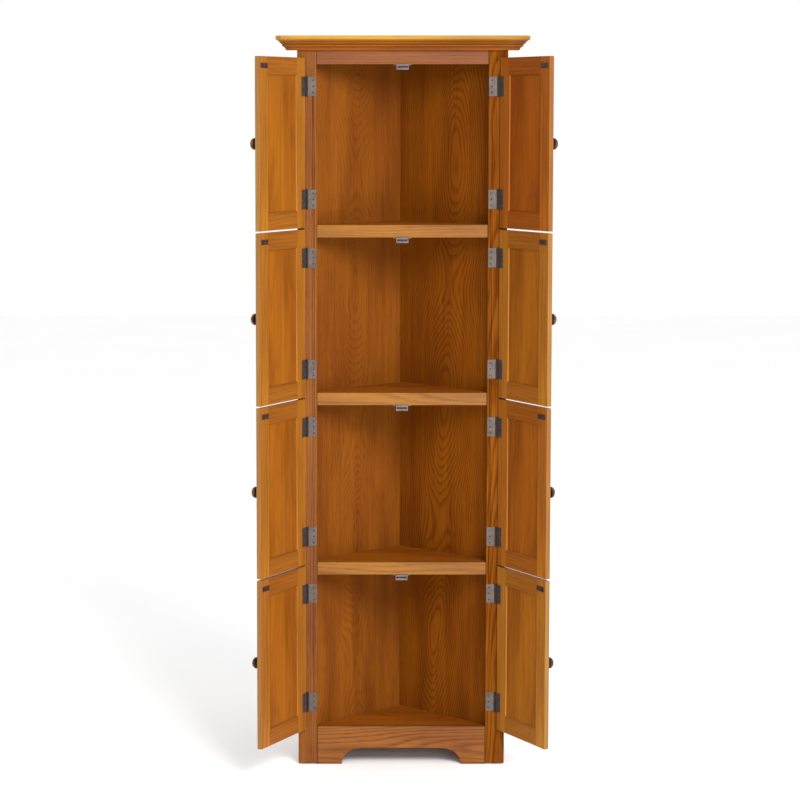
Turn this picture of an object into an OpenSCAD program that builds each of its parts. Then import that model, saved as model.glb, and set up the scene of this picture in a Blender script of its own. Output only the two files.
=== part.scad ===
// Corner pantry cabinet. Two back panels meet at a right angle in the room's corner,
// a flat face frame closes the front, and four pairs of framed doors cover it.
// The doors stand open against the stiles, where their hinges stop them.

/* [Cabinet] */
// Height from the floor to the top of the crown
total_h = 1826; // [1400:1:2250]
// Width across the front, over the outer edges of the two stiles
front_w = 519; // [420:1:700]
// Width of each front stile
stile_w = 47.5; // [40:0.5:70]
// Thickness of the stiles, rails and toe board
frame_t = 20; // [16:0.5:28]
// Height of the top rail that shows below the crown
top_rail_show = 33.5; // [20:0.5:70]
// Thickness of the two back panels
back_t = 15; // [8:0.5:20]
// Thickness of the top board
top_t = 18; // [12:0.5:25]

/* [Shelves] */
// Height of the rail along the front of each shelf
shelf_rail_h = 31; // [22:0.5:45]
// Thickness of the shelf boards
shelf_t = 15; // [9:0.5:20]
// How far the bottom shelf lies below the toe board's top edge
bottom_shelf_drop = 5.5; // [0:0.5:15]
// Height of the upper shelf's top above the door gap in front of it
upper_shelf_rise = 9; // [4:0.1:18]
// Height of the middle shelf's top above the door gap in front of it
middle_shelf_rise = 12.8; // [4:0.1:18]
// Height of the lower shelf's top above the door gap in front of it
lower_shelf_rise = 6.5; // [4:0.1:18]

/* [Toe board] */
// Height of the toe board's top edge
toe_h = 97; // [75:1:150]
// Gap between the floor and the feet of the toe board
toe_clear = 1; // [0.5:0.5:10]
// Width of the arch at the floor
arch_w = 300; // [150:1:320]
// Height of the arch above the floor
arch_h = 41.5; // [15:0.5:60]
// Width of each rounded end of the arch
arch_end = 50; // [20:1:70]

/* [Crown] */
// Height of the crown moulding
crown_h = 35; // [30:1:60]
// How far the crown's nose stands out from the front
crown_out = 45; // [35:1:60]
// How far the crown's foot stands out from the front
crown_foot = 9; // [4:0.5:12]
// Height of the crown's upright nose
crown_nose = 9.5; // [6:0.5:14]

/* [Doors] */
// Thickness of the door frames
door_t = 12; // [10:0.5:18]
// Gap between one door and the next below it
door_gap = 4.6; // [2:0.1:8]
// Gap between the left and right doors when they are shut
centre_gap = 3; // [1:0.5:6]
// Space between the crown and the highest doors
door_drop = 18; // [6:0.5:28]
// How far the lowest doors lap over the toe board
door_foot_lap = 5.8; // [2:0.1:15]
// Width of the flat of each door's stiles and rails
member_w = 39.5; // [28:0.5:60]
// Width of the moulded edge inside the flat
bead_w = 4.5; // [2:0.5:8]
// Thickness of the door panels
panel_t = 5; // [3:0.5:6]
// Depth of the door panel below the frame's inner face
panel_setback = 3; // [1:0.5:4]
// Depth of the groove that holds the door panel
groove_d = 6; // [4:0.5:10]

/* [Hinges] */
// Height of each hinge
leaf_h = 47.5; // [30:0.5:65]
// Width of a leaf, from the pin's axis to the leaf's edge
leaf_w = 23; // [18:0.5:30]
// Thickness of a leaf
leaf_t = 1.2; // [0.8:0.1:1.8]
// Radius of the rolled knuckles
barrel_r = 2.5; // [2:0.1:3.5]
// Radius of the hinge pin
pin_r = 1.25; // [0.8:0.05:1.6]
// Height of each hinge's centre from the door's nearer end
hinge_inset = 70; // [45:1:120]
// Distance from the pin's axis to the door's edge
door_edge = 4.8; // [4:0.1:8]
// Distance from the pin's axis to the leaf's holes
hole_x = 15.5; // [10:0.5:16]
// Distance from the leaf's middle to its two screws
hole_z = 15; // [8:0.5:20]

/* [Knobs] */
// Diameter of the knob
knob_d = 28; // [20:1:36]
// How far the knob stands out from the door
knob_out = 25; // [20:1:35]
// Distance from the door's free edge to the knob's axis
knob_edge = 25; // [20:1:30]
// Radius of the knob's screw
knob_screw_r = 2; // [1.5:0.1:2.5]

/* [Catches] */
// Width of a double magnetic catch
catch_w = 30; // [24:1:40]
// Height of a catch
catch_h = 13.6; // [10:0.2:18]
// Thickness of a catch's screw ears
ear_t = 2.5; // [1.5:0.1:4]
// Width over the two screw ears
ears_w = 44; // [40:1:60]
// Length of a strike plate
strike_l = 33; // [20:1:40]
// Height of a strike plate
strike_h = 12; // [8:0.5:18]
// Thickness of a strike plate
strike_t = 1.2; // [0.8:0.1:2]
// Distance from the door's free edge to the strike plate
strike_edge = 6.5; // [3:0.5:12]
// Distance from the door's top to the strike plate
strike_drop = 16; // [8:0.5:30]

/* [Glides] */
// Diameter of the floor glides
glide_d = 10; // [7:0.5:12]
// Height of the glides
glide_h = 3; // [2:0.5:6]

/* [Fits] */
// Radial clearance of the pin in the door's knuckles
pin_clear = 0.07; // [0.03:0.01:0.1]
// Gap between one knuckle and the next
knuckle_gap = 0.25; // [0.15:0.05:0.5]
// Gap between moving wood and metal and what they swing past
swing_clear = 0.3; // [0.2:0.05:0.5]
// Clearance of the door panel in its groove
panel_clear = 0.2; // [0.1:0.05:0.5]
// Glue line between the members of a door frame
glue_line = 0.05; // [0.02:0.01:0.1]
// Radial clearance round screws and nails
screw_clear = 0.05; // [0.02:0.01:0.1]

/* [Hidden] */
levels = [1, 2, 3, 4];
sides = ["left", "right"];
door_pieces = ["frame", "panel", "knob", "hinge_leaves", "strike"];
$fn = 48;

// Heights of the carcass
crown_z = total_h - crown_h;
board_z = total_h - top_t;
top_rail_z = crown_z - top_rail_show;

// The walls stand at 45 degrees to the front and meet at the corner behind it
corner_y = front_w / 2 + frame_t;
inner_y = corner_y - back_t * sqrt(2);
inner_x = front_w / 2 - stile_w;
// A glue line measured across and along, at 45 degrees
joint_off = glue_line / sqrt(2);

// Doors: four equal ones fill the height between the crown and the toe board
door_top = crown_z - door_drop;
door_foot = toe_h - door_foot_lap;
door_h = (door_top - door_foot - 3 * door_gap) / 4;
door_pitch = door_h + door_gap;
function door_z(level) = door_top - door_h - (level - 1) * door_pitch;
function gap_z(level) = door_z(level) - door_gap / 2;

// Shelves, from the top: each one's top height
shelf_z = [gap_z(1) + upper_shelf_rise, gap_z(2) + middle_shelf_rise, gap_z(3) + lower_shelf_rise];

// Hinges: the leaf's edge lies just outside the stile's inner edge
leaf_inset = 0.5;
hinge_x = inner_x + leaf_inset + leaf_w;
pin_off = barrel_r + swing_clear;
knuckles = 5;
knuckle_h = (leaf_h - (knuckles - 1) * knuckle_gap) / knuckles;
frame_knuckles = [0, 2, 4];
door_knuckles = [1, 3];
door_w = hinge_x - door_edge - centre_gap / 2;
hinge_heights = [hinge_inset, door_h - hinge_inset];

// The door opens until its outer hinge-side corner is swing_clear from the stile's face
stop_reach = norm([pin_off + door_t, door_edge]);
open_angle = 90 + atan(door_edge / (pin_off + door_t)) + asin((pin_off - swing_clear) / stop_reach);

// Catches stand out just short of the strikes on the shut doors
catch_gap = 0.4;
catch_nose = 2 * pin_off - strike_t - catch_gap;
catch_depth = catch_nose + frame_t - 2;
ear_screw_x = (ears_w + catch_w) / 4;
ear_screw_y = frame_t / 2;
ear_d = frame_t * 0.6;

// The origin is the middle of the floor under the whole part, open doors included
front_y = -pin_off - (door_edge + door_w) * sin(open_angle) - pin_off * cos(open_angle);
origin_y = (front_y + corner_y) / 2;

// Screws
screw_r = 1.4;
screw_head_r = 2.9;
screw_len = 12;
ear_screw_len = 14;
nail_r = 1;
nail_len = 12;

oak = "#a8683c";
oak_light = "#bd7627";
oak_inside = "#82461c";
nickel = "#9b8c82";
dark_plate = "#644637";
bronze = "#32261c";
aluminium = "#8c8080";

// Puts the cabinet's front plane and centre line in the part's own frame
module in_frame() translate([0, -origin_y, 0]) children();
// Mirrors a left-hand piece to the right
module on_side(side) {
    if (side == "right") mirror([1, 0, 0]) children();
    else children();
}
// Carries a door piece, drawn round its pin with the door shut, to its open place
module on_door(side, level)
    in_frame() on_side(side)
        translate([-hinge_x, -pin_off, door_z(level)]) rotate([0, 0, -open_angle]) children();
// Repeats a hinge piece down one side of the front
module at_frame_hinges()
    for (side = sides, level = levels, h = hinge_heights)
        on_side(side) translate([-hinge_x, -pin_off, door_z(level) + h - leaf_h / 2]) children();

// Countersunk screw: its head's top is at z = 0 and it points down
module wood_screw(len, head_h) {
    cross = screw_head_r * 1.1;
    difference() {
        union() {
            translate([0, 0, -head_h]) cylinder(r1 = screw_r, r2 = screw_head_r, h = head_h);
            translate([0, 0, -len]) cylinder(r = screw_r, h = len - head_h);
        }
        for (a = [0, 90]) rotate([0, 0, a])
            translate([-cross, -0.3, -0.6]) cube([2 * cross, 0.6, 1]);
    }
}
module screw_sink(head_h) {
    translate([0, 0, -head_h - 0.01])
        cylinder(r1 = screw_r + 2 * screw_clear, r2 = screw_head_r + 2 * screw_clear, h = head_h + 0.02);
}
module pilot_hole(len) translate([0, 0, -len - 0.5]) cylinder(r = screw_r + screw_clear, h = len + 1);

// ---- Face frame ----
module frame_screw_places(z_low = 0)
    for (level = levels, h = hinge_heights, up = [-1, 1])
        translate([-hinge_x + hole_x, -leaf_t, door_z(level) + h + up * hole_z])
            rotate([90, 0, 0]) children();

module stile(side) {
    color(oak) in_frame() on_side(side) difference() {
        translate([-front_w / 2, 0, glide_h]) cube([stile_w, frame_t, board_z - glide_h]);
        frame_screw_places() pilot_hole(screw_len);
        glide_place(0) nail_hole();
    }
}
module ear_screw_places(rail_z)
    for (x = [-ear_screw_x, ear_screw_x])
        translate([x, ear_screw_y, rail_z - ear_t]) rotate([180, 0, 0]) children();

module rail(low_z, high_z) {
    color(oak) in_frame() difference() {
        translate([-inner_x, 0, low_z]) cube([2 * inner_x, frame_t, high_z - low_z]);
        ear_screw_places(low_z) pilot_hole(ear_screw_len);
    }
}
module shelf_rail(index) rail(shelf_z[index] - shelf_rail_h, shelf_z[index]);

// Toe board with a flat-topped arch whose ends are quarter ellipses
module toe_board() {
    steps = 10;
    arch_top = arch_h - toe_clear;
    left_end = [for (i = [0 : steps]) let (a = 90 * i / steps)
        [-arch_w / 2 + arch_end * (1 - cos(a)), arch_top * sin(a)]];
    right_end = [for (i = [steps : -1 : 0]) [-left_end[i].x, left_end[i].y]];
    color(oak) in_frame() translate([0, frame_t, toe_clear]) rotate([90, 0, 0])
        linear_extrude(frame_t) polygon(concat(
            [[-inner_x, 0]], left_end, right_end,
            [[inner_x, 0], [inner_x, toe_h - toe_clear], [-inner_x, toe_h - toe_clear]]));
}

// ---- Back panels and boards ----
// The left panel runs to the corner and the right one butts against its face
module left_back_panel() {
    color(oak_inside) in_frame() difference() {
        translate([0, 0, glide_h]) linear_extrude(board_z - glide_h) polygon([
            [-(corner_y - frame_t), frame_t], [-(inner_y - frame_t), frame_t],
            [back_t / sqrt(2), inner_y + back_t / sqrt(2)], [0, corner_y]]);
        glide_place(1) nail_hole();
    }
}
module right_back_panel() {
    color(oak_inside) in_frame()
        translate([0, 0, glide_h]) linear_extrude(board_z - glide_h) polygon([
            [corner_y - frame_t, frame_t], [inner_y - frame_t, frame_t],
            [joint_off, inner_y - joint_off], [back_t / sqrt(2) + joint_off, inner_y + back_t / sqrt(2) - joint_off]]);
}
// A shelf stops a glue line short of both back panels
module shelf_board(top_z) {
    reach = inner_y - 2 * joint_off;
    color(oak_inside) in_frame() translate([0, 0, top_z - shelf_t]) linear_extrude(shelf_t)
        polygon([[-(reach - frame_t), frame_t], [reach - frame_t, frame_t], [0, reach]]);
}
module top_board() {
    color(oak_inside) in_frame() translate([0, 0, board_z]) linear_extrude(top_t)
        polygon([[-corner_y, 0], [corner_y, 0], [0, corner_y]]);
}

// ---- Crown moulding: foot, hollow, bead, hollow and upright nose ----
// A shallow hollow between two points of the section, sinking towards the wall
function hollow(from, to, sink) = let (run = to - from, inward = [-run.y, run.x] / norm(run))
    [for (t = [0 : 0.125 : 1]) from + t * run + sink * sin(180 * t) * inward];

module crown_section() {
    sink = 1.3;
    foot_edge = 1.5;
    soft_edge = 1.2;
    ledge = 3;
    nose_z = crown_h - crown_nose;
    bead_r = nose_z * 0.09;
    step = [crown_foot + (crown_out - crown_foot) * 0.33, nose_z * 0.37];
    bead = [for (a = [-90 : 22.5 : 90]) step + [bead_r * cos(a), bead_r + bead_r * sin(a)]];
    polygon(concat([[0, 0], [crown_foot, 0]],
        hollow([crown_foot + soft_edge, foot_edge], step, sink), bead,
        hollow(step + [bead_r + ledge, 2 * bead_r + soft_edge / 2], [crown_out - soft_edge, nose_z], sink),
        [[crown_out, nose_z + soft_edge], [crown_out, crown_h - soft_edge],
         [crown_out - soft_edge, crown_h], [0, crown_h]]));
}
// A length of moulding along x, with its section standing out towards -y
module crown_length(len) rotate([90, 0, -90]) linear_extrude(len, center = true) crown_section();

module crown_moulding() {
    reach = crown_out + 1;
    mitre = tan(22.5) * reach;
    color(oak_light) in_frame() translate([0, 0, crown_z]) {
        intersection() {
            crown_length(2 * corner_y + 2 * mitre + 2);
            translate([0, 0, -1]) linear_extrude(crown_h + 2) polygon([
                [-corner_y, 0], [corner_y, 0], [corner_y + mitre, -reach], [-corner_y - mitre, -reach]]);
        }
        for (side = sides) on_side(side) intersection() {
            translate([-corner_y, 0, 0]) rotate([0, 0, -45]) crown_length(4 * reach);
            translate([0, 0, -1]) linear_extrude(crown_h + 2) polygon([
                [-corner_y, 0], [-corner_y - mitre, -reach], [-corner_y - reach, -reach]]);
        }
    }
}

// ---- Doors, drawn shut round the pin: +x towards the free edge, -y outwards ----
// Quarter-round moulding on one face, as deep as the panel lies below that face
module bead_section(depth) {
    lip = 0.6;
    polygon(concat([[0, 0]],
        [for (a = [0 : 15 : 90]) [lip + (bead_w - lip) * sin(a), -(depth - lip) * (1 - cos(a))]],
        [[bead_w, -depth], [0, -depth]]));
}
// One member: x runs across its width from the outer edge, z along its length
module door_member(len, bead_from, bead_to) {
    front_depth = door_t - panel_setback - panel_t;
    difference() {
        translate([0, -door_t, 0]) cube([member_w, door_t, len]);
        translate([member_w - groove_d, -panel_setback - panel_t, -1]) cube([groove_d + 1, panel_t, len + 2]);
    }
    intersection() {
        translate([member_w, 0, 0]) {
            translate([0, 0, bead_from]) linear_extrude(bead_to - bead_from) bead_section(panel_setback);
            translate([0, -door_t, bead_from]) mirror([0, 1, 0])
                linear_extrude(bead_to - bead_from) bead_section(front_depth);
        }
        translate([0, 1, 0]) rotate([90, 0, 0]) linear_extrude(door_t + 2) polygon([
            [member_w - 1, bead_from - 1], [member_w + bead_w + 1, bead_from + bead_w + 1],
            [member_w + bead_w + 1, bead_to - bead_w - 1], [member_w - 1, bead_to + 1]]);
    }
}
module knob_place()
    translate([door_edge + door_w - knob_edge, -pin_off - door_t, door_h / 2]) rotate([90, 0, 0]) children();
module strike_place()
    translate([door_edge + door_w - strike_edge - strike_l / 2, -pin_off, door_h - strike_drop - strike_h / 2])
        rotate([-90, 0, 0]) children();
module leaf_screw_places()
    for (h = hinge_heights, up = [-1, 1])
        translate([hole_x, -pin_off + leaf_t, h + up * hole_z]) rotate([-90, 0, 0]) children();
strike_screw_len = 8;
leaf_screw_len = 9;
stud_len = door_t * 0.7;

module door_frame(side, level) {
    joint = member_w + glue_line;
    rail_len = door_w - 2 * joint;
    color(oak_light) on_door(side, level) difference() {
        translate([door_edge, -pin_off, 0]) {
            door_member(door_h, joint, door_h - joint);
            translate([door_w, 0, 0]) mirror([1, 0, 0]) door_member(door_h, joint, door_h - joint);
            for (flip = [0, 1]) translate([joint, 0, flip * door_h]) mirror([0, 0, flip])
                mirror([1, 0, -1]) door_member(rail_len, 0, rail_len);
        }
        knob_place() translate([0, 0, -stud_len - 0.5]) cylinder(r = knob_screw_r + screw_clear, h = stud_len + 1);
        leaf_screw_places() pilot_hole(leaf_screw_len);
        strike_place() translate([0, 0, strike_t]) pilot_hole(strike_screw_len);
    }
}
module door_panel(side, level) {
    edge = member_w - groove_d + panel_clear;
    color(oak_light) on_door(side, level)
        translate([door_edge + edge, -pin_off - panel_setback - panel_t + panel_clear / 4, edge])
            cube([door_w - 2 * edge, panel_t - panel_clear / 2, door_h - 2 * edge]);
}
// Mushroom knob with a foot ring, on a stud that ends inside the door
module knob(side, level) {
    r = knob_d / 2;
    foot_r = r * 0.66;
    neck_r = r * 0.36;
    foot_h = 2.5;
    rim_h = 2;
    rim_z = knob_out * 0.56;
    stud_in = knob_out * 0.45;
    dome = [for (a = [0 : 10 : 90]) [r * cos(a), rim_z + rim_h + (knob_out - rim_z - rim_h) * sin(a)]];
    neck = [for (a = [0 : 15 : 90]) [foot_r - (foot_r - neck_r) * sin(a), foot_h + knob_out * 0.3 * (1 - cos(a))]];
    color(bronze) on_door(side, level) knob_place() {
        difference() {
            rotate_extrude() polygon(concat([[0, 0], [foot_r, 0]], neck,
                [[r * 0.4, stud_in], [r * 0.8, rim_z - 1], [r, rim_z]], dome));
            translate([0, 0, -1]) cylinder(r = knob_screw_r + screw_clear, h = stud_in + 1);
        }
        translate([0, 0, -stud_len]) cylinder(r = knob_screw_r, h = stud_len + stud_in);
    }
}
module strike(side, level) {
    color(dark_plate) on_door(side, level) strike_place() {
        difference() {
            translate([-strike_l / 2, -strike_h / 2, 0]) cube([strike_l, strike_h, strike_t]);
            translate([0, 0, strike_t]) screw_sink(strike_t);
        }
        translate([0, 0, strike_t]) wood_screw(strike_screw_len, strike_t);
    }
}

// ---- Hinges, drawn round the pin's axis from the foot of the barrel ----
// The frame's leaf lies against the stile, on the +y side of the pin
module hinge_leaf(own, others) {
    cut_r = barrel_r + swing_clear;
    centre_hole_r = screw_r + 0.3;
    press_clear = 0.02;
    bore_r = pin_r + (own == door_knuckles ? pin_clear : press_clear);
    difference() {
        union() {
            translate([0, pin_off - leaf_t, 0]) cube([leaf_w, leaf_t, leaf_h]);
            for (k = own) translate([0, 0, k * (knuckle_h + knuckle_gap)]) cylinder(r = barrel_r, h = knuckle_h);
        }
        for (k = others) translate([-cut_r, -cut_r, k * (knuckle_h + knuckle_gap) - knuckle_gap])
            cube([2 * cut_r, 2 * cut_r + 1, knuckle_h + 2 * knuckle_gap]);
        translate([0, 0, -1]) cylinder(r = bore_r, h = leaf_h + 2);
        for (up = [-1, 1]) translate([hole_x, pin_off - leaf_t, leaf_h / 2 + up * hole_z])
            rotate([90, 0, 0]) screw_sink(leaf_t);
        translate([hole_x, pin_off + 1, leaf_h / 2]) rotate([90, 0, 0])
            cylinder(r = centre_hole_r, h = leaf_t + 2);
    }
}
module frame_hinge_leaves() color(nickel) in_frame() at_frame_hinges() hinge_leaf(frame_knuckles, door_knuckles);
module hinge_pins() {
    head_r = barrel_r * 0.8;
    head_h = 0.8;
    color(nickel) in_frame() at_frame_hinges() {
        cylinder(r = pin_r, h = leaf_h);
        for (z = [-head_h, leaf_h]) translate([0, 0, z]) cylinder(r = head_r, h = head_h);
    }
}
module door_hinge_leaves(side, level) {
    color(nickel) on_door(side, level) {
        for (h = hinge_heights) translate([0, 0, h - leaf_h / 2])
            mirror([0, 1, 0]) hinge_leaf(door_knuckles, frame_knuckles);
        leaf_screw_places() wood_screw(leaf_screw_len, leaf_t);
    }
}
module frame_screws() {
    color(nickel) in_frame() {
        for (side = sides) on_side(side) frame_screw_places() wood_screw(screw_len, leaf_t);
        for (z = concat([top_rail_z], [for (s = shelf_z) s - shelf_rail_h]))
            ear_screw_places(z) wood_screw(ear_screw_len, leaf_t);
    }
}

// ---- Magnetic catches: one case for both doors, with a magnet between two pole plates ----
module magnetic_catches() {
    wall = 2;
    pocket_w = catch_w - 2 * wall;
    pocket_h = catch_h - 2 * wall;
    pocket_d = 10;
    pole_t = catch_h * 0.19;
    magnet_in = 1.2;
    for (z = concat([top_rail_z], [for (s = shelf_z) s - shelf_rail_h]))
        in_frame() translate([0, -catch_nose, z]) {
            color(aluminium) difference() {
                union() {
                    translate([-catch_w / 2, 0, -catch_h]) cube([catch_w, catch_depth, catch_h]);
                    translate([-ears_w / 2, catch_nose + ear_screw_y - ear_d / 2, -ear_t]) cube([ears_w, ear_d, ear_t]);
                }
                translate([-pocket_w / 2, -1, wall - catch_h]) cube([pocket_w, pocket_d + 1, pocket_h]);
                translate([0, catch_nose, -z]) ear_screw_places(z) screw_sink(leaf_t);
                translate([0, catch_nose, -z]) ear_screw_places(z) pilot_hole(ear_t);
            }
            translate([-pocket_w / 2, 0, wall - catch_h]) {
                color(nickel) for (up = [0, pocket_h - pole_t])
                    translate([0, 0, up]) cube([pocket_w, pocket_d, pole_t]);
                color(bronze) translate([0, magnet_in, pole_t])
                    cube([pocket_w, pocket_d - magnet_in, pocket_h - 2 * pole_t]);
            }
        }
}

// ---- Floor glides: two under the stiles and one under the back corner ----
module glide_place(index)
    translate(index == 0
        ? [-front_w / 2 + stile_w / 2, frame_t / 2, 0]
        : [-back_t / 4, corner_y - back_t * sqrt(2) / 2 - back_t / 4, 0]) children();
module nail_hole() translate([0, 0, -1]) cylinder(r = nail_r + screw_clear, h = glide_h + nail_len + 1);
module glide() {
    edge = 0.8;
    cylinder(r1 = glide_d / 2 - edge, r2 = glide_d / 2, h = edge);
    translate([0, 0, edge]) cylinder(r = glide_d / 2, h = glide_h - edge);
    translate([0, 0, glide_h]) cylinder(r = nail_r, h = nail_len - 0.5);
}
module glides() {
    color(nickel) in_frame() {
        for (side = sides) on_side(side) glide_place(0) glide();
        glide_place(1) glide();
    }
}

stile("left");  // left_stile
stile("right");  // right_stile
rail(top_rail_z, board_z);  // top_rail
shelf_rail(0);  // upper_shelf_rail
shelf_rail(1);  // middle_shelf_rail
shelf_rail(2);  // lower_shelf_rail
toe_board();
left_back_panel();
right_back_panel();
shelf_board(shelf_z[0]);  // upper_shelf
shelf_board(shelf_z[1]);  // middle_shelf
shelf_board(shelf_z[2]);  // lower_shelf
shelf_board(toe_h - bottom_shelf_drop);  // bottom_shelf
top_board();
crown_moulding();
magnetic_catches();
frame_hinge_leaves();
hinge_pins();
frame_screws();
glides();
for (side = sides, level = levels) {
    door_frame(side, level);
    door_panel(side, level);
    knob(side, level);
    door_hinge_leaves(side, level);
    strike(side, level);
}
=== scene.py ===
import math
import bpy
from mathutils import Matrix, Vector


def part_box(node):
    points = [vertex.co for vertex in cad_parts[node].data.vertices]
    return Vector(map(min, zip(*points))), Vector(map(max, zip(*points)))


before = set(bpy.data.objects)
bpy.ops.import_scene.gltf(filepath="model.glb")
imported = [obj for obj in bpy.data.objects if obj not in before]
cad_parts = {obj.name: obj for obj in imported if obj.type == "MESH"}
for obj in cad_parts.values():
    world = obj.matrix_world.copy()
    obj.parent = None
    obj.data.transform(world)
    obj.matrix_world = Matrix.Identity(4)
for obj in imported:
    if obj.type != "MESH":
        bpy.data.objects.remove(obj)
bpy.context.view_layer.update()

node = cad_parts


# ---- Face frame: two stiles and four rails ----
# Solid red oak, 20 mm thick, planed, glued edge to edge and finished in a honey stain under
# satin lacquer. The stain gathers in the open pores, so each year ring reads as a darker line.
STAIN_DARK = (0.100, 0.023, 0.0020)
STAIN_LIGHT = (0.190, 0.060, 0.0080)
RIGHT_DARK = (0.085, 0.018, 0.0014)
RIGHT_LIGHT = (0.175, 0.053, 0.0060)
# The top rail's two colours are darker than the shelf rails': partly a redder stain, partly a painted
# shade for the shadow the crown casts on it.
SHADED_TOP_RAIL_DARK = (0.105, 0.026, 0.0040)
SHADED_TOP_RAIL_LIGHT = (0.165, 0.050, 0.0120)
SHELF_RAIL_DARK = (0.135, 0.042, 0.0035)
SHELF_RAIL_LIGHT = (0.225, 0.086, 0.0090)
FRAME_EASE = 0.0008
QUARTER = math.pi / 2
SIDEWAYS = (0, QUARTER, 0)


class Bench:
    """A material being put together: shader parts and the joins between them."""

    def __init__(self, name):
        self.material = bpy.data.materials.new(name)
        self.material.use_nodes = True
        self.parts = self.material.node_tree.nodes
        self.links = self.material.node_tree.links
        self.shader = self.parts["Principled BSDF"]

    def add(self, kind, **settings):
        part = self.parts.new("ShaderNode" + kind)
        for key, value in settings.items():
            setattr(part, key, value)
        return part

    def feed(self, socket, value):
        if hasattr(value, "links"):
            self.links.new(value, socket)
        else:
            socket.default_value = value

    def sum(self, operation, first, second=0.0, third=0.0):
        part = self.add("Math", operation=operation)
        self.feed(part.inputs[0], first)
        self.feed(part.inputs[1], second)
        self.feed(part.inputs[2], third)
        return part.outputs[0]

    def apart(self, value, middle):
        """How far the value lies from its middle, on either side."""
        return self.sum("ABSOLUTE", self.sum("SUBTRACT", value, middle))

    def swing(self, value, noise, reach):
        """The value, moved up and down by a noise that lies about 0.5."""
        return self.sum("MULTIPLY_ADD", self.sum("SUBTRACT", noise, 0.5), reach, value)

    def axes(self, where):
        """The X, Y and Z of a place or of a direction."""
        part = self.add("SeparateXYZ")
        self.feed(part.inputs[0], where)
        return part.outputs

    def stretch(self, where, by):
        part = self.add("Mapping")
        self.feed(part.inputs["Vector"], where)
        part.inputs["Scale"].default_value = by
        return part.outputs[0]

    def noise(self, where, detail=2.0, roughness=0.5, scale=1.0):
        part = self.add("TexNoise")
        self.feed(part.inputs["Vector"], where)
        part.inputs["Scale"].default_value = scale
        part.inputs["Detail"].default_value = detail
        part.inputs["Roughness"].default_value = roughness
        return part.outputs["Fac"]

    def between(self, value, low, high, to_low=0.0, to_high=1.0):
        part = self.add("MapRange")
        part.interpolation_type = "SMOOTHSTEP"
        self.feed(part.inputs["Value"], value)
        self.feed(part.inputs["From Min"], low)
        self.feed(part.inputs["From Max"], high)
        self.feed(part.inputs["To Min"], to_low)
        self.feed(part.inputs["To Max"], to_high)
        return part.outputs["Result"]

    def blend(self, amount, first, second, how="MIX"):
        part = self.add("Mix", data_type="RGBA", blend_type=how)
        self.feed(part.inputs["Factor"], amount)
        self.feed(part.inputs["A"], first if hasattr(first, "links") else (*first, 1.0))
        self.feed(part.inputs["B"], second if hasattr(second, "links") else (*second, 1.0))
        return part.outputs["Result"]

    def tone(self, mask, colour, by):
        """The colour multiplied by another, where the mask is 1."""
        return self.blend(mask, colour, self.blend(1.0, colour, by, "MULTIPLY"))

    def worn_edge(self, radius):
        """1 along sharp edges, where handling thins the finish, and 0 on the flats."""
        rounded = self.add("Bevel", samples=4)
        rounded.inputs["Radius"].default_value = radius
        flat = self.add("NewGeometry")
        dot = self.add("VectorMath", operation="DOT_PRODUCT")
        self.feed(dot.inputs[0], rounded.outputs["Normal"])
        self.feed(dot.inputs[1], flat.outputs["Normal"])
        return self.between(dot.outputs["Value"], 0.99, 0.80)

    def relief(self, height, depth, strength):
        bump = self.add("Bump")
        bump.inputs["Strength"].default_value = strength
        bump.inputs["Distance"].default_value = depth
        self.feed(bump.inputs["Height"], height)
        self.feed(self.shader.inputs["Normal"], bump.outputs["Normal"])


# How often each feature of the wood comes in a metre: across, through and along the board.
SWAYS = (7, 7, 1.9)
RIPPLES = (45, 45, 9)
UNEVEN_YEARS = (22, 22, 2)
FIBRES = (420, 420, 9)
PORES = (800, 800, 26)
CLOUDS = (13, 13, 2.2)
STREAKS = (75, 75, 1.4)
RUBS = (60, 60, 25)

# How the stain and the wear change the two colours of the wood.
SHADED = (0.80, 0.74, 0.80)
SUNNY = (1.14, 1.20, 1.0)
PORE_SHARE = 0.42
GLUED_SHARE = 0.55
WORN_SHARE = 1.5
WORN_WIDTH = 0.0016
GRAIN_DEPTH = 0.00025


def share_of(colour, share):
    return tuple(part * share for part in colour)


def grain(bench, board, heart, lean, ring, waves, bow):
    """Year rings cut by the saw: 0 in the porous early wood, 1 in the dense late wood.
    heart is where the tree's middle lies across and behind the board, and how far it drifts
    across. bow is a bend in the tree, which the saw turns into nested ovals: the height of one
    oval's middle, the distance to the next, and the bend's depth."""
    sway = bench.noise(bench.stretch(board, SWAYS), 2.0, 0.45)
    ripple = bench.noise(bench.stretch(board, RIPPLES), 2.0, 0.5)
    at = bench.axes(board)
    across = bench.sum("SUBTRACT", at["X"], heart[0])
    across = bench.sum("MULTIPLY_ADD", at["Z"], -heart[2], across)
    behind = bench.sum("MULTIPLY_ADD", at["Z"], lean, heart[1])
    behind = bench.sum("SUBTRACT", behind, at["Y"])
    if bow:
        oval_middle, oval_spacing, bend_depth = bow
        above = bench.sum("SUBTRACT", at["Z"], oval_middle)
        turn = bench.sum("MULTIPLY", above, math.tau / oval_spacing)
        bend = bench.sum("COSINE", bench.swing(turn, sway, 3.0))
        behind = bench.sum("MULTIPLY_ADD", bench.sum("SUBTRACT", 1.0, bend), bend_depth / 2, behind)
    squares = bench.sum("MULTIPLY_ADD", across, across, bench.sum("MULTIPLY", behind, behind))
    reach = bench.sum("MULTIPLY_ADD", sway, waves, bench.sum("SQRT", squares))
    reach = bench.sum("MULTIPLY_ADD", ripple, waves * 0.10, reach)
    uneven = bench.noise(bench.stretch(board, UNEVEN_YEARS), 1.0)
    years = bench.sum("MULTIPLY_ADD", uneven, 1.6, bench.sum("DIVIDE", reach, ring))
    year = bench.sum("FRACT", years)
    early = bench.between(year, 0.0, 0.55)
    late = bench.between(year, 0.86, 1.0, 1.0, 0.0)
    return bench.sum("MULTIPLY", early, late)


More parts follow.
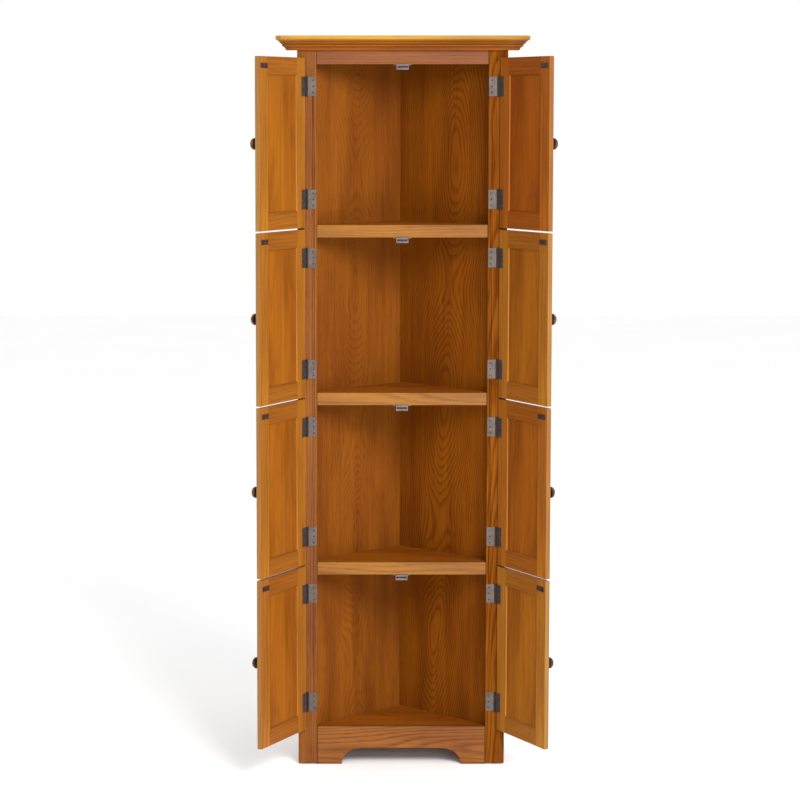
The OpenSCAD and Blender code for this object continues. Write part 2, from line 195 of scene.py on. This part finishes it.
def plywood_edge(bench, normal, turn, board, ply, dark, light, colour):
    """Pale and dark sheets in turn where the plywood is sawn through. Its two faces stay plain."""
    turned = bench.add("VectorRotate", rotation_type="EULER_XYZ", invert=True)
    turned.inputs["Rotation"].default_value = turn
    bench.feed(turned.inputs["Vector"], normal)
    facing = bench.sum("ABSOLUTE", bench.axes(turned.outputs[0])["Y"])
    sawn = bench.between(facing, 0.5, 0.3)
    sheet = bench.sum("PINGPONG", bench.sum("DIVIDE", bench.axes(board)["Y"], ply), 1.0)
    sheets = bench.blend(bench.between(sheet, 0.4, 0.6), share_of(dark, GLUED_SHARE), light)
    return bench.blend(sawn, colour, sheets)


def oak(name, dark, light, place, turn=(0, 0, 0), heart=(0.0, 0.07, 0.0), lean=0.02, ring=0.006,
        waves=0.03, figure=0.45, pores=0.5, bow=None, gloss=0.45, shine=0.15, members=None, ply=0.0,
        streaks=0.9, marks=()):
    """Stained oak. place and turn put the board's own axes in the cabinet: x across the board,
    y through its thickness and z along its grain. members gives each part of a glued frame its
    own axes, ply is the thickness of one sheet of plywood, and marks are laid over the wood."""
    bench = Bench(name)
    spot = bench.add("TexCoord")
    local = bench.add("Mapping", vector_type="TEXTURE")
    bench.feed(local.inputs["Vector"], spot.outputs["Object"])
    local.inputs["Location"].default_value = place
    local.inputs["Rotation"].default_value = turn
    whole = local.outputs[0]
    board = members(bench, whole) if members else whole
    band = grain(bench, board, heart, lean, ring, waves, bow)
    fibre = bench.noise(bench.stretch(board, FIBRES), 3.0, 0.6)
    pore = bench.between(bench.noise(bench.stretch(board, PORES), 1.0, 0.5), 0.56, 0.66)
    pore = bench.sum("MULTIPLY", pore, bench.sum("MULTIPLY_ADD", band, -0.75, 1.0))
    cloud = bench.noise(bench.stretch(board, CLOUDS), 3.0, 0.55)
    streak = bench.noise(bench.stretch(board, STREAKS), 2.0, 0.5)
    body = bench.sum("MULTIPLY_ADD", bench.sum("SUBTRACT", band, 1.0), figure, 0.85)
    body = bench.swing(body, fibre, 0.9)
    body = bench.swing(body, streak, streaks)
    colour = bench.blend(body, dark, light)
    stained = bench.blend(bench.between(cloud, 0.3, 0.7), SHADED, SUNNY)
    colour = bench.blend(1.0, colour, stained, "MULTIPLY")
    colour = bench.blend(bench.sum("MULTIPLY", pore, pores), colour, share_of(dark, PORE_SHARE))
    edge = bench.worn_edge(WORN_WIDTH)
    rubbed = bench.between(bench.noise(bench.stretch(board, RUBS), 2.0), 0.35, 0.65, 0.1, 0.4)
    colour = bench.blend(bench.sum("MULTIPLY", edge, rubbed), colour, share_of(light, WORN_SHARE))
    for mark in marks:
        colour = mark(bench, spot.outputs["Object"], whole, colour)
    if ply:
        colour = plywood_edge(bench, spot.outputs["Normal"], turn, board, ply, dark, light, colour)
    bench.feed(bench.shader.inputs["Base Color"], colour)
    rough = bench.between(cloud, 0.2, 0.8, gloss - 0.05, gloss + 0.08)
    rough = bench.sum("MULTIPLY_ADD", pore, 0.22, rough)
    bench.feed(bench.shader.inputs["Roughness"], bench.sum("MULTIPLY_ADD", edge, 0.08, rough))
    height = bench.sum("MULTIPLY_ADD", pore, -1.0, bench.sum("MULTIPLY", band, 0.25))
    bench.relief(bench.sum("MULTIPLY_ADD", fibre, 0.3, height), GRAIN_DEPTH, 0.6)
    bench.shader.inputs["Specular IOR Level"].default_value = shine
    bench.shader.inputs["Coat Weight"].default_value = shine / 3
    bench.shader.inputs["Coat Roughness"].default_value = 0.3
    return bench.material


# Near-black colour for the rails' joints, where it is stain with painted shade in the groove, and for the
# hinge leaves' holes, where it is painted shade.
JOINT_STAIN_AND_SHADE = (0.030, 0.009, 0.003)
LINE_STARTS = 0.0022
LINE_FULL = 0.0008


def stain_and_shade_in_joints(half):
    """A dark line at each end of a board of that half length: stain lying in the joint, with painted shade
    for the groove's shadow.
    """
    def mark(bench, spot, board, colour):
        end = bench.sum("ABSOLUTE", bench.axes(board)["Z"])
        seam = bench.between(end, half - LINE_STARTS, half - LINE_FULL)
        return bench.blend(seam, colour, JOINT_STAIN_AND_SHADE)
    return mark


LEVELS = (1, 2, 3, 4)
LEAF_HEIGHT = 0.0475
LEAF_HOLE_X = 0.220
LEAF_HOLE_HALF = 0.0035


def painted_shade_in_leaf_holes(side):
    """Painted shade: the dark inside of the empty hole in the middle of each hinge leaf, painted on the
    stile's wood that shows through it.
    """
    def mark(bench, spot, board, colour):
        at = bench.axes(spot)
        away = 1.0
        for count in LEVELS:
            low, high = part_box(f"{side}_door_{count}_hinge_leaves")
            for level in (low.z + LEAF_HEIGHT / 2, high.z - LEAF_HEIGHT / 2):
                away = bench.sum("MINIMUM", away, bench.apart(at["Z"], level))
        beside = bench.apart(bench.sum("ABSOLUTE", at["X"]), LEAF_HOLE_X)
        hole = bench.sum("LESS_THAN", bench.sum("MAXIMUM", away, beside), LEAF_HOLE_HALF)
        return bench.blend(hole, colour, JOINT_STAIN_AND_SHADE)
    return mark


SEAM_GAP = 0.000004
SHARP = math.radians(40)


def finish(piece, material, ease, steps=2):
    """Puts the finish on a piece and eases its sharp edges by that much."""
    piece.data.materials.clear()
    piece.data.materials.append(material)
    close = piece.modifiers.new("close seams", "WELD")
    close.merge_threshold = SEAM_GAP
    round_over = piece.modifiers.new("ease edges", "BEVEL")
    round_over.width = ease
    round_over.segments = steps
    round_over.limit_method = "ANGLE"
    round_over.angle_limit = SHARP
    round_over.use_clamp_overlap = False
    round_over.harden_normals = False
    smooth = piece.modifiers.new("flat faces", "WEIGHTED_NORMAL")
    smooth.weight = 80
    smooth.keep_sharp = False


def middle(name):
    low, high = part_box(name)
    return tuple((low + high) / 2)


def half_length(name):
    low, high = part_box(name)
    return (high.x - low.x) / 2


left_stile_oak = oak("left_stile_oak", STAIN_DARK, STAIN_LIGHT, middle("left_stile"),
                     heart=(0.11, 0.05, 0.0), lean=0.004, ring=0.0055, waves=0.012, figure=0.4,
                     shine=0.1, marks=[painted_shade_in_leaf_holes("left")])
finish(node["left_stile"], left_stile_oak, FRAME_EASE)
right_stile_oak = oak("right_stile_oak", RIGHT_DARK, RIGHT_LIGHT, middle("right_stile"),
                      heart=(0.008, 0.055, 0.0), lean=0.03, ring=0.0052, waves=0.03, figure=0.6,
                      shine=0.0, marks=[painted_shade_in_leaf_holes("right")])
finish(node["right_stile"], right_stile_oak, FRAME_EASE)
top_rail_oak = oak("top_rail_oak", SHADED_TOP_RAIL_DARK, SHADED_TOP_RAIL_LIGHT, middle("top_rail"), SIDEWAYS,
                   heart=(0.09, 0.05, 0.0), lean=0.005, waves=0.01, figure=0.3,
                   marks=[stain_and_shade_in_joints(half_length("top_rail"))])
finish(node["top_rail"], top_rail_oak, FRAME_EASE)
for rail, off, tilt in (("upper", 0.05, 0.012), ("middle", -0.012, -0.02), ("lower", 0.02, 0.016)):
    name = rail + "_shelf_rail"
    rail_oak = oak(name + "_oak", SHELF_RAIL_DARK, SHELF_RAIL_LIGHT, middle(name), SIDEWAYS,
                   heart=(off, 0.045, 0.0), lean=tilt, ring=0.0048, waves=0.018, figure=0.45,
                   marks=[stain_and_shade_in_joints(half_length(name))])
    finish(node[name], rail_oak, FRAME_EASE)


# ---- Toe board ----
# One oak board between the stiles' feet, its arch bandsawn and sanded. It is flat sawn, so the
# rings run out of its face in long flames.
TOE_DARK = (0.092, 0.022, 0.0024)
TOE_LIGHT = (0.205, 0.066, 0.0090)
toe_oak = oak("toe_board_oak", TOE_DARK, TOE_LIGHT, middle("toe_board"), SIDEWAYS,
              heart=(0.012, 0.05, 0.0), lean=-0.025, ring=0.0046, waves=0.018, figure=0.5, pores=0.7,
              marks=[stain_and_shade_in_joints(half_length("toe_board"))])
finish(node["toe_board"], toe_oak, ease=0.0009)


# ---- Back panels ----
# Two sheets of oak-faced plywood that meet at a right angle in the room's corner. The ovals of
# a peeled veneer show in both, and are fainter in the left one.
LEFT_BACK_DARK = (0.090, 0.020, 0.0018)
LEFT_BACK_LIGHT = (0.200, 0.058, 0.0060)
RIGHT_BACK_DARK = (0.078, 0.016, 0.0010)
RIGHT_BACK_LIGHT = (0.190, 0.052, 0.0030)
PLY_SHEET = 0.0025
PLY_EASE = 0.0005
left_back_oak = oak("left_back_oak", LEFT_BACK_DARK, LEFT_BACK_LIGHT, middle("left_back_panel"),
                    (0, 0, QUARTER / 2), heart=(0.0, 0.035, 0.01), lean=0.0, ring=0.0050,
                    waves=0.035, figure=0.2, bow=(-0.35, 0.62, 0.05), streaks=0.6, gloss=0.5,
                    shine=0.08, ply=PLY_SHEET)
finish(node["left_back_panel"], left_back_oak, PLY_EASE)
right_back_oak = oak("right_back_oak", RIGHT_BACK_DARK, RIGHT_BACK_LIGHT, middle("right_back_panel"),
                     (0, 0, -QUARTER / 2), heart=(-0.01, 0.022, 0.06), lean=0.0, ring=0.0056,
                     waves=0.024, figure=0.4, bow=(-0.57, 0.583, 0.05), streaks=0.55, gloss=0.5,
                     shine=0.05, ply=PLY_SHEET)
finish(node["right_back_panel"], right_back_oak, PLY_EASE)


# ---- Shelves and top board ----
# Three-cornered boards of the same plywood, grain from side to side, let in between the
# back panels and glued to the back of the rails. The top board is left dull, as nobody sees it.
LYING = (QUARTER, 0, QUARTER)
SHELF_DARK = (0.125, 0.026, 0.0016)
SHELF_LIGHT = (0.270, 0.075, 0.0045)
for level, off in (("upper", 0.03), ("middle", -0.02), ("lower", 0.06), ("bottom", 0.0)):
    name = level + "_shelf"
    shelf_oak = oak(name + "_oak", SHELF_DARK, SHELF_LIGHT, middle(name), LYING,
                    heart=(off, 0.09, 0.0), lean=0.03, ring=0.0060, waves=0.05, figure=0.3,
                    gloss=0.48, shine=0.08, ply=PLY_SHEET)
    finish(node[name], shelf_oak, PLY_EASE)
top_board_oak = oak("top_board_oak", STAIN_DARK, STAIN_LIGHT, middle("top_board"), LYING,
                    heart=(0.02, 0.09, 0.0), lean=0.03, ring=0.0068, waves=0.05, gloss=0.65,
                    shine=0.0, ply=0.003)
finish(node["top_board"], top_board_oak, ease=0.0006)


# ---- Crown moulding ----
# A run of moulded oak round the top, cut on a spindle moulder and mitred at both front
# corners: a cove at the foot, a bead, a second cove and an upright nose.
CROWN_DARK = (0.232, 0.096, 0.0117)
CROWN_LIGHT = (0.356, 0.186, 0.0286)
# The colour under the crown's nose: a redder stain, with painted shade.
COVE_STAIN_AND_SHADE = (0.66, 0.375, 0.31)
CROWN_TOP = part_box("crown_moulding")[1].z
CROWN_NOSE = 0.0120
TONE_FADE = 0.001


def stain_and_shade_below_nose(bench, spot, board, colour):
    """Stain settles in the coves, so all that lies under the nose is redder; it is also darkened there as
    a painted shade under the nose.
    """
    nose_foot = CROWN_TOP - CROWN_NOSE
    below = bench.between(bench.axes(spot)["Z"], nose_foot + TONE_FADE, nose_foot - TONE_FADE)
    return bench.tone(below, colour, COVE_STAIN_AND_SHADE)


crown_oak = oak("crown_oak", CROWN_DARK, CROWN_LIGHT, middle("crown_moulding"), SIDEWAYS,
                heart=(0.07, 0.06, 0.0), lean=0.004, ring=0.006, waves=0.012, figure=0.25,
                pores=0.3, shine=0.06, marks=[stain_and_shade_below_nose])
finish(node["crown_moulding"], crown_oak, ease=0.0002)


# ---- Doors ----
# Eight framed doors: two stiles, two rails and a flat panel held in a groove, with a quarter
# round moulding stuck on the inner edges and mitred. The wood is close grained and golden.
HINGE_X = 0.2355
PIN_HEAD_RADIUS = 0.002
PIN_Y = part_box("hinge_pins")[0].y + PIN_HEAD_RADIUS
DOOR_WIDTH = 0.2292
DOOR_EDGE = 0.0048
DOOR_HEIGHT = 0.417
MEMBER = 0.0395
BEAD = 0.0045
OPEN = math.radians(117.2155)
DOOR_DARK = (0.175, 0.057, 0.0045)
DOOR_LIGHT = (0.325, 0.125, 0.0130)
PANEL_DARK = (0.145, 0.042, 0.0028)
PANEL_LIGHT = (0.255, 0.081, 0.0055)
RAIL_TONE = (0.80, 0.72, 0.75)
# A painted highlight: the doors' free edge is made paler and less red where it faces the light.
EDGE_HIGHLIGHT = (0.82, 1.07, 2.3)
EDGE_HIGHLIGHT_WIDTH = 0.0006
DEEP_RED = (0.86, 0.62, 0.60)
PALE_GOLD = (1.04, 1.07, 1.22)
GOLD = {"left": (0.80, 0.72, 0.68, 0.60), "right": (0.08, 0.80, 0.42, 0.95)}


def rail_mask(bench, door):
    """1 on the two rails of a door frame and 0 on its stiles, with the places it works from."""
    at = bench.axes(door)
    along = bench.sum("SUBTRACT", at["X"], DOOR_EDGE + DOOR_WIDTH / 2)
    beside = bench.sum("SUBTRACT", DOOR_WIDTH / 2, bench.sum("ABSOLUTE", along))
    above = bench.sum("SUBTRACT", at["Z"], DOOR_HEIGHT / 2)
    below = bench.sum("SUBTRACT", DOOR_HEIGHT / 2, bench.sum("ABSOLUTE", above))
    mitre = bench.sum("MAXIMUM", MEMBER, bench.sum("MINIMUM", below, MEMBER + BEAD))
    rail = bench.sum("GREATER_THAN", beside, mitre)
    return rail, along, above


# How far apart in the tree the members of one door, and the doors themselves, are cut.
STILES_APART = 0.4
RAILS_APART = 0.9
NEXT_BOARD = 2.3
NEXT_DOOR = 0.03
OTHER_SIDE = 0.05


def door_members(bench, door):
    """Turns the grain on its side over the two rails, and gives each member its own wood."""
    rail, along, above = rail_mask(bench, door)
    through = bench.axes(door)["Y"]
    upright = bench.add("CombineXYZ")
    bench.feed(upright.inputs[0], bench.sum("MULTIPLY_ADD", bench.sum("SIGN", along), STILES_APART, along))
    bench.feed(upright.inputs[1], through)
    bench.feed(upright.inputs[2], above)
    level = bench.add("CombineXYZ")
    bench.feed(level.inputs[0], bench.sum("MULTIPLY_ADD", bench.sum("SIGN", above), RAILS_APART, above))
    bench.feed(level.inputs[1], through)
    bench.feed(level.inputs[2], bench.sum("ADD", along, NEXT_BOARD))
    pick = bench.add("Mix", data_type="VECTOR")
    bench.feed(pick.inputs["Factor"], rail)
    bench.feed(pick.inputs["A"], upright.outputs[0])
    bench.feed(pick.inputs["B"], level.outputs[0])
    return pick.outputs["Result"]


def rail_stain_and_edge_highlight(bench, spot, door, colour):
    """The rails took the stain darker than the stiles, and the free long edge, which faces the lamp, gets
    a paler painted highlight.
    """
    rail, along, _ = rail_mask(bench, door)
    colour = bench.tone(rail, colour, RAIL_TONE)
    edge = bench.sum("GREATER_THAN", along, DOOR_WIDTH / 2 - EDGE_HIGHLIGHT_WIDTH)
    return bench.tone(edge, colour, EDGE_HIGHLIGHT)


def tinted(colour, gold):
    """The same wood in a deeper red (gold 0) or in a paler gold (gold 1)."""
    return tuple(c * (red + gold * (pale - red)) for c, red, pale in zip(colour, DEEP_RED, PALE_GOLD))


for side, sign in (("left", -1), ("right", 1)):
    for count, gold in enumerate(GOLD[side], 1):
        door = f"{side}_door_{count}"
        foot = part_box(door + "_frame")[0].z
        pin = (sign * HINGE_X, PIN_Y, foot)
        swung = (0, 0, -OPEN if side == "left" else OPEN - math.pi)
        tree = NEXT_DOOR * count + OTHER_SIDE * sign
        frame_wood = oak(door + "_frame_wood", tinted(DOOR_DARK, gold), tinted(DOOR_LIGHT, gold), pin,
                         swung, heart=(0.3 + tree, 0.35, 0.0), lean=0.01, ring=0.009, waves=0.05,
                         figure=0.22, pores=0.12, members=door_members, marks=[rail_stain_and_edge_highlight])
        finish(node[door + "_frame"], frame_wood, ease=0.00025)
        panel_wood = oak(door + "_panel_wood", tinted(PANEL_DARK, gold), tinted(PANEL_LIGHT, gold), pin,
                         swung, heart=(0.12 + tree, 0.25, 0.0), lean=0.03, ring=0.012, waves=0.09,
                         figure=0.22, pores=0.10)
        finish(node[door + "_panel"], panel_wood, ease=0.0003)


# ---- Hinges ----
# Steel butt hinges, rolled round a loose pin and nickel plated, with a satin brushed face.
# Each leaf is held by two countersunk screws and has an open hole in its middle.
NICKEL = (0.110, 0.088, 0.078)
NICKEL_SHADE = (0.082, 0.064, 0.056)
SCREW_STEEL = (0.085, 0.068, 0.060)
SCREW_SHADE = (0.06, 0.047, 0.041)
KNUCKLE_SHADE = (0.026, 0.018, 0.014)
KNUCKLE_SHADE_FADES = 0.0022
KNUCKLE_SHADE_FULL = 0.0014
METAL_CLOUDS = (70, 70, 70)
METAL_SPECKS = (900, 900, 900)
METAL_EDGE = 0.0007
BRUSH_DEPTH = 0.00006


def plated(name, colour, shade, rough, metal=1.0, brushed=(900, 900, 30), wear=0.35, mark=None):
    """Plated or bronzed metal, clouded with its shade, specked, and rubbed bright at the edges.
    brushed is how often the fine lines come in a metre along x, y and z. mark goes over it."""
    bench = Bench(name)
    spot = bench.add("TexCoord").outputs["Object"]
    lines = bench.noise(bench.stretch(spot, brushed), 2.0, 0.6)
    cloud = bench.noise(bench.stretch(spot, METAL_CLOUDS), 3.0, 0.6)
    speck = bench.between(bench.noise(bench.stretch(spot, METAL_SPECKS), 1.0), 0.68, 0.78)
    tint = bench.blend(bench.between(cloud, 0.3, 0.7), shade, colour)
    tint = bench.blend(bench.sum("MULTIPLY", speck, 0.35), tint, share_of(shade, 0.4))
    edge = bench.worn_edge(METAL_EDGE)
    tint = bench.blend(bench.sum("MULTIPLY", edge, wear), tint, share_of(colour, 1.6))
    if mark:
        tint = mark(bench, spot, tint)
    bench.feed(bench.shader.inputs["Base Color"], tint)
    worn = bench.sum("MULTIPLY_ADD", lines, 0.18, rough - 0.09)
    bench.feed(bench.shader.inputs["Roughness"], bench.sum("MULTIPLY_ADD", speck, 0.15, worn))
    bench.shader.inputs["Metallic"].default_value = metal
    bench.relief(bench.sum("MULTIPLY_ADD", speck, -0.5, lines), BRUSH_DEPTH, 0.5)
    return bench.material


def painted_shade_on_knuckles(bench, spot, colour):
    """Painted shade along the rolled knuckles, where the two leaves turn on each other."""
    off = bench.apart(bench.sum("ABSOLUTE", bench.axes(spot)["X"]), HINGE_X)
    return bench.blend(bench.between(off, KNUCKLE_SHADE_FADES, KNUCKLE_SHADE_FULL), colour, KNUCKLE_SHADE)


nickel = plated("satin_nickel", NICKEL, NICKEL_SHADE, rough=0.58, metal=0.8, mark=painted_shade_on_knuckles)
screw_steel = plated("screw_steel", SCREW_STEEL, SCREW_SHADE, rough=0.5, metal=0.8)
finish(node["frame_hinge_leaves"], nickel, ease=0.0001, steps=1)
finish(node["hinge_pins"], nickel, ease=0.00015, steps=1)
finish(node["frame_screws"], screw_steel, ease=0.00008, steps=1)
DOORS = [f"{side}_door_{count}" for side in ("left", "right") for count in LEVELS]
for door in DOORS:
    finish(node[door + "_hinge_leaves"], nickel, ease=0.0001, steps=1)


# ---- Knobs ----
# Turned and cast mushroom knobs in oil-rubbed bronze: nearly black, with a brown shine where
# fingers have rubbed the rim and the crown of the dome.
BRONZE = (0.17, 0.105, 0.058)
BRONZE_SHADE = (0.045, 0.024, 0.013)
bronze = plated("rubbed_bronze", BRONZE, BRONZE_SHADE, rough=0.38, metal=0.65,
                brushed=(260, 260, 260), wear=0.8)
for door in DOORS:
    finish(node[door + "_knob"], bronze, ease=0.0003)


# ---- Strike plates ----
# Small stamped steel plates, bronzed, each held by one screw to the back of a door, where the
# magnet pulls. Their edges are rubbed bright.
STRIKE = (0.10, 0.070, 0.058)
STRIKE_SHADE = (0.050, 0.034, 0.028)
strike_steel = plated("bronzed_steel", STRIKE, STRIKE_SHADE, rough=0.45, metal=0.7,
                      brushed=(30, 900, 900), wear=0.6)
for door in DOORS:
    finish(node[door + "_strike"], strike_steel, ease=0.0001, steps=1)


# ---- Magnetic catches ----
# Folded aluminium cases, screwed up under each rail by their ears. In each, a dark magnet sits
# back between two pole plates that look out at the front.
CASE = (0.125, 0.100, 0.103)
CASE_SHADE = (0.082, 0.066, 0.067)
FERRITE_DARK = (0.006, 0.004, 0.003)
FERRITE_LIGHT = (0.018, 0.012, 0.010)
FERRITE_GRAINS = (600, 600, 600)
CATCH_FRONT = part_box("magnetic_catches")[0].y
CATCH_HEIGHT = 0.0136
MAGNET_WIDTH = 0.026
MAGNET_HALF = 0.0022
MAGNET_DEPTH = 0.003


def dark_magnets(bench, spot, colour):
    """The magnet shows as a dark slot between its two pole plates, at the front only."""
    at = bench.axes(spot)
    off = 1.0
    for rail in ("top_rail", "upper_shelf_rail", "middle_shelf_rail", "lower_shelf_rail"):
        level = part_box(rail)[0].z - CATCH_HEIGHT / 2
        off = bench.sum("MINIMUM", off, bench.apart(at["Z"], level))
    slot = bench.sum("LESS_THAN", off, MAGNET_HALF)
    beside = bench.sum("ABSOLUTE", at["X"])
    slot = bench.sum("MULTIPLY", slot, bench.sum("LESS_THAN", beside, MAGNET_WIDTH / 2))
    front = bench.sum("LESS_THAN", at["Y"], CATCH_FRONT + MAGNET_DEPTH)
    slot = bench.sum("MULTIPLY", slot, front)
    ferrite = bench.noise(bench.stretch(spot, FERRITE_GRAINS))
    return bench.blend(slot, colour, bench.blend(ferrite, FERRITE_DARK, FERRITE_LIGHT))


catch_case = plated("catch_case", CASE, CASE_SHADE, rough=0.5, metal=0.6, brushed=(40, 700, 700),
                    wear=0.3, mark=dark_magnets)
finish(node["magnetic_catches"], catch_case, ease=0.00015, steps=1)


# ---- Floor glides ----
# Nail-on glides under the two stiles and the back corner, pressed from steel and plated in
# nickel, painted darker as a painted shade for the shadow under the cabinet.
GLIDE = (0.11, 0.085, 0.07)
GLIDE_SHADE = (0.05, 0.035, 0.03)
shaded_glide_nickel = plated("shaded_glide_nickel", GLIDE, GLIDE_SHADE, rough=0.45)
finish(node["glides"], shaded_glide_nickel, ease=0.0002, steps=1)


# ---- Room, lights and camera ----
# A pale floor that runs away on all sides and even white light all round. One large soft lamp
# stands high on the right, and a weaker one near the floor lights the lower shelves.
FLOOR_REACH = 14.0
FLOOR_DARK = (0.95, 0.95, 0.95)
FLOOR_LIGHT = (0.99, 0.99, 0.99)


def floor_board():
    far = FLOOR_REACH
    mesh = bpy.data.meshes.new("pale_floor")
    mesh.from_pydata([(-far, -far, 0), (far, -far, 0), (far, far, 0), (-far, far, 0)], [], [(0, 1, 2, 3)])
    floor = bpy.data.objects.new("pale_floor", mesh)
    bpy.context.scene.collection.objects.link(floor)
    bench = Bench("pale_floor_paint")
    spot = bench.add("TexCoord").outputs["Object"]
    shade = bench.blend(bench.noise(spot, detail=3.0, scale=1.5), FLOOR_DARK, FLOOR_LIGHT)
    bench.feed(bench.shader.inputs["Base Color"], shade)
    bench.shader.inputs["Roughness"].default_value = 0.9
    bench.shader.inputs["Specular IOR Level"].default_value = 0.1
    mesh.materials.append(bench.material)


def soft_light(name, power, width, place, aim_height):
    """A square lamp that faces a point on the cabinet's upright middle line."""
    data = bpy.data.lights.new(name, "AREA")
    data.energy = power
    data.size = width
    light = bpy.data.objects.new(name, data)
    light.location = place
    bpy.context.scene.collection.objects.link(light)
    aim = bpy.data.objects.new(name + "_aim", None)
    aim.location = (0, 0, aim_height)
    bpy.context.scene.collection.objects.link(aim)
    face_to = light.constraints.new("TRACK_TO")
    face_to.target = aim
    face_to.track_axis = "TRACK_NEGATIVE_Z"
    face_to.up_axis = "UP_Y"
    return light


floor_board()
sky = bpy.data.worlds.new("white_room")
bpy.context.scene.world = sky
sky.use_nodes = True
sky.node_tree.nodes["Background"].inputs["Color"].default_value = (1, 1, 1, 1)
sky.node_tree.nodes["Background"].inputs["Strength"].default_value = 1.0

soft_light("soft_lamp", power=224, width=1.8, place=(1.4, -3.9, 3.2), aim_height=1.0)
low_card = soft_light("low_card", power=40, width=1.4, place=(0.5, -2.6, 0.35), aim_height=0.55)
low_card.visible_camera = False

lens = bpy.data.cameras.new("camera")
lens.sensor_width = 36
lens.lens = 112.72
lens.shift_x = 0.06206
lens.shift_y = -0.02967
lens.clip_end = 100
camera = bpy.data.objects.new("camera", lens)
camera.location = (-0.1285, -6.2349, 1.6381)
camera.rotation_euler = (math.radians(84.0), 0, 0)
bpy.context.scene.collection.objects.link(camera)
bpy.context.scene.camera = camera
bpy.context.scene.view_settings.view_transform = "Standard"
